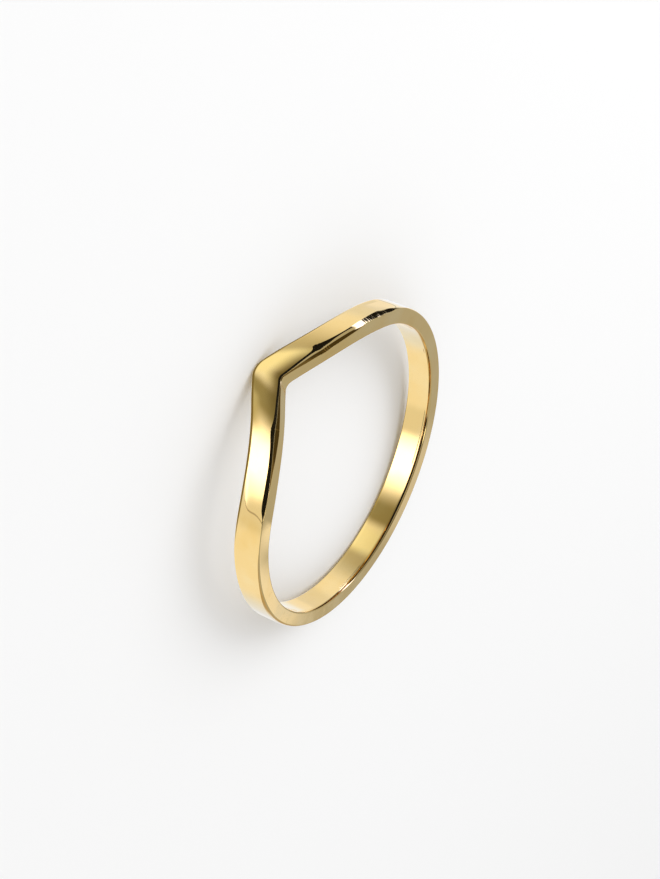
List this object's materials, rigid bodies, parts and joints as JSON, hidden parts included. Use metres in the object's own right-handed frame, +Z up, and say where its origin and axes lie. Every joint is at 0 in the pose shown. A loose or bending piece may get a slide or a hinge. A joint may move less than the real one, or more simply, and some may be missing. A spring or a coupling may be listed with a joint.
{
  "type": "chevron ring",
  "caption": "Polished yellow gold finger ring: a slim plain band that dips to a V at the front, lying on its side.",
  "frame": {"origin": "on the surface that the ring rests on, under the middle of its outline", "axes": "+Z up from the surface; -Y is the front, where the V is, with its point down; +X to the right seen from the front; the left and right halves are alike"},
  "size_m": [0.0192, 0.0196, 0.0035],
  "materials": {
    "polished_gold": "mirror-polished yellow gold with faint handling wear"
  },
  "bodies": {
    "root": {"chevron_band": "polished_gold"}
  },
  "joints": []
}
